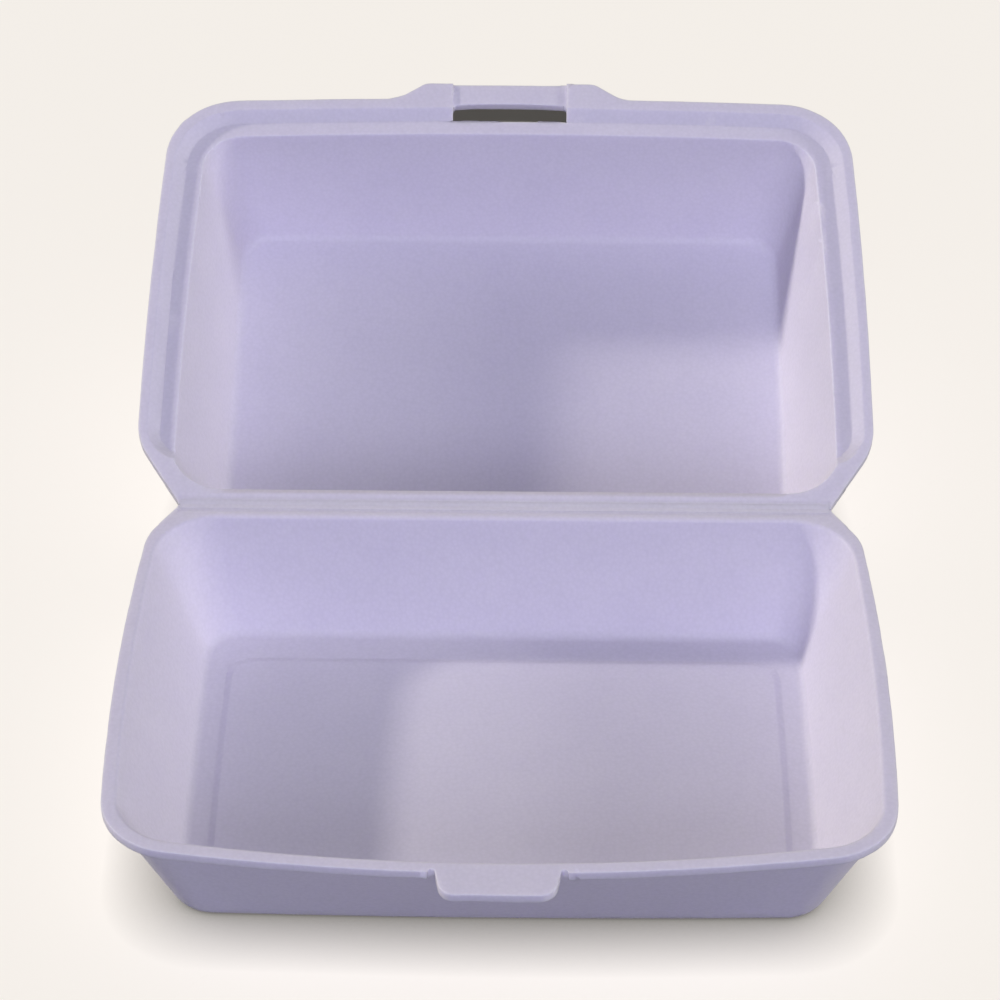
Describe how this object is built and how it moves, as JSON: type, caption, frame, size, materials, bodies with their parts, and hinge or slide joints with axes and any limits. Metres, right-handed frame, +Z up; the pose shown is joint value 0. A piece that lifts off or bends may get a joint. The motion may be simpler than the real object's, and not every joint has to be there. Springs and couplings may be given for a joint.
{
  "type": "foam clamshell food container",
  "caption": "Pressed foam clamshell food box standing open: a drafted rectangular tray and a deeper lid on a scored fold, with a front tab and a slotted ear to shut it.",
  "frame": {"origin": "on the table, under the middle of the tray's floor", "axes": "+X to the right along the fold, +Y from the front tab to the lid, +Z up out of the tray"},
  "size_m": [0.2056, 0.2908, 0.0812],
  "materials": {
    "foam": "pressed expanded polystyrene sheet: a pale lilac white, fine-celled skin with a soft satin sheen"
  },
  "bodies": {
    "tray": {"tray": "foam"},
    "lid": {"lid": "foam"}
  },
  "joints": [
    {"name": "lid_fold", "type": "hinge", "parent": "tray", "child": "lid", "pos_m": [0, 0.0697, 0.0352], "axis": [1, 0, 0], "range_deg": [0, 161.86]}
  ]
}
